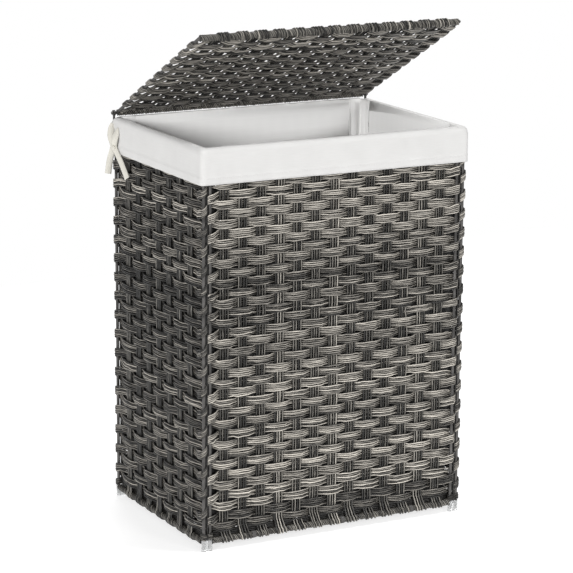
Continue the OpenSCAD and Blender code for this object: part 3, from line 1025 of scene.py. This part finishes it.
def ribbon(name, keys, facings, width, steps=6):
    """A flat tape through key points, each with the way its face looks. Gives the piece and its length."""
    keys, facings = np.array(keys, float), np.array(facings, float)
    t = np.linspace(0, len(keys) - 1, (len(keys) - 1) * steps + 1)
    i = np.clip(t.astype(int), 0, len(keys) - 2)
    f = (t - i)[:, None]
    p0, p1 = keys[np.clip(i - 1, 0, None)], keys[i]
    p2, p3 = keys[i + 1], keys[np.clip(i + 2, None, len(keys) - 1)]
    square, cube = 2 * p0 - 5 * p1 + 4 * p2 - p3, 3 * p1 - p0 - 3 * p2 + p3
    path = 0.5 * (2 * p1 + (p2 - p0) * f + square * f**2 + cube * f**3)
    face = facings[i] * (1 - f) + facings[i + 1] * f
    tangent = np.gradient(path, axis=0)
    tangent /= np.linalg.norm(tangent, axis=1)[:, None]
    across = np.cross(tangent, face)
    across /= np.linalg.norm(across, axis=1)[:, None]
    up = np.cross(across, tangent)
    run = np.concatenate([[0], np.cumsum(np.linalg.norm(np.diff(path, axis=0), axis=1))])
    lanes = np.linspace(-0.5, 0.5, 5)
    points = path[:, None] + across[:, None] * (lanes * width)[None, :, None]
    points = points + up[:, None] * (TAPE_CROWN * np.cos(lanes * math.pi * 2))[None, :, None]
    cloth = np.stack(np.broadcast_arrays(lanes[None] * width, run[:, None], 0.0), -1)
    n, k = len(path), len(lanes)
    index = np.arange(n * k).reshape(n, k)
    quads = np.stack([index[:-1, :-1], index[:-1, 1:], index[1:, 1:], index[1:, :-1]], -1).reshape(-1, 4)
    piece = mesh_object(name, points.reshape(-1, 3), quads.tolist(), TAPE, [("cloth", cloth.reshape(-1, 3))])
    thicken(piece, TAPE_T)
    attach(piece, "basket")
    return piece, run[-1]


def tie(side, sign):
    """Two tapes from the cuff's rear corner, knotted together, their ends hanging. sign is -1 on the left."""

    def out(*points):
        return [(sign * x, y, z) for x, y, z in points]

    def facing(*angles):
        return [(sign * math.cos(math.radians(a)), -math.sin(math.radians(a)), 0.0) for a in angles]

    rear = out(
        (229, 150.5, 609), (234, 148.5, 603), (237, 145.5, 591), (235, 140, 578), (236.5, 139, 570),
        (240, 141.5, 555), (243, 142.5, 533),
    )
    near = out(
        (231.5, 134.5, 604), (234, 130.5, 598), (237.5, 129.5, 587), (235.5, 136, 577), (234.8, 130, 569),
        (234.0, 111.5, 553), (233.8, 91.5, 533),
    )
    first, first_len = ribbon(f"tie_{side}_rear_tape", rear, facing(60, 60, 45, 55, 60, 62, 66), TAPE_W)
    second, second_len = ribbon(f"tie_{side}_front_tape", near, facing(10, 35, 50, 40, 30, 32, 36), TAPE_W)
    turn = np.linspace(0.3, 2 * math.pi + 0.9, 11)
    loop, loop_out = [], []
    for a in turn:
        c, k = math.cos(a), math.sin(a)
        loop.append((sign * (235.6 + 2.9 * c), 137 + 4.3 * k, 575 + 1.2 * k))
        loop_out.append((sign * c, k, 0.1))
    knot, knot_len = ribbon(f"tie_{side}_knot_tape", loop, loop_out, KNOT_W, steps=3)
    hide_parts(f"cuff_tie_{side}")


tie("left", -1)
tie("right", 1)

# ---------------------------------------------------------------- hinges


def tube(centre, axis, inner, outer, length):
    """Points and faces of a short tube round an axis, 0 for x or 2 for z."""
    n = 24
    a = np.arange(n) * 2 * math.pi / n
    points = []
    for radius, end in ((inner, -0.5), (outer, -0.5), (outer, 0.5), (inner, 0.5)):
        flat = np.zeros((n, 3))
        flat[:, axis] = end * length
        flat[:, (axis + 1) % 3], flat[:, (axis + 2) % 3] = radius * np.cos(a), radius * np.sin(a)
        points.append(flat + centre)
    faces = []
    for k in range(4):
        for i in range(n):
            j, m = (i + 1) % n, (k + 1) % 4
            faces.append([k * n + i, k * n + j, m * n + j, m * n + i])
    return np.concatenate(points), faces


HINGE_X = 226.0


def hinge(side, sign):
    """A strip that rises from a cap on the rear post to an eye round the lid's rear rail."""
    x = sign * HINGE_X
    eye, faces = tube((x, HINGE[1], HINGE[2]), 0, 2.6, 4.5, 3.0)
    cap, more = tube((sign * SIDE_X, FACE_Y, HIGH_RAIL_Z - 5), 2, 2.55, 3.9, 8.0)
    faces += [[i + len(eye) for i in face] for face in more]
    start = len(eye) + len(cap)
    corners = ((-0.9, -2.4), (0.9, -2.4), (0.9, 2.4), (-0.9, 2.4))
    strip = [(x + a, HINGE[1] + b, z) for z in (HIGH_RAIL_Z - 9, HINGE[2] - 3.2) for a, b in corners]
    box_faces = [[0, 3, 2, 1], [4, 5, 6, 7], [0, 1, 5, 4], [1, 2, 6, 5], [2, 3, 7, 6], [3, 0, 4, 7]]
    faces += [[i + start for i in face] for face in box_faces]
    piece = mesh_object(f"hinge_{side}", np.concatenate([eye, cap, strip]), faces, HINGE_METAL, smooth=False)
    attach(piece, "basket")
    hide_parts(f"hinge_eye_{side}")


hinge("left", -1)
hinge("right", 1)

# ---------------------------------------------------------------- carried-over frame parts


def dress(node, material):
    """Gives a node that is shown as packed its material."""
    mesh = frame["nodes"][node].data
    mesh.materials.clear()
    mesh.materials.append(material)


for node in ("front_frame", "back_frame", "left_frame", "right_frame", "base_frame", "lid_frame"):
    dress(node, STEEL)
for node in ("corner_clips", "base_lashings"):
    dress(node, CLIP)
for node in ("foot_front_left", "foot_front_right", "foot_back_left", "foot_back_right"):
    dress(node, CLEAR)

# ---------------------------------------------------------------- floor

floor = mesh_object(
    "studio_floor_plane",
    [(-1600, -1600, -0.2), (1600, -1600, -0.2), (1600, 1600, -0.2), (-1600, 1600, -0.2)],
    [[0, 1, 2, 3]],
    floor_material(),
)
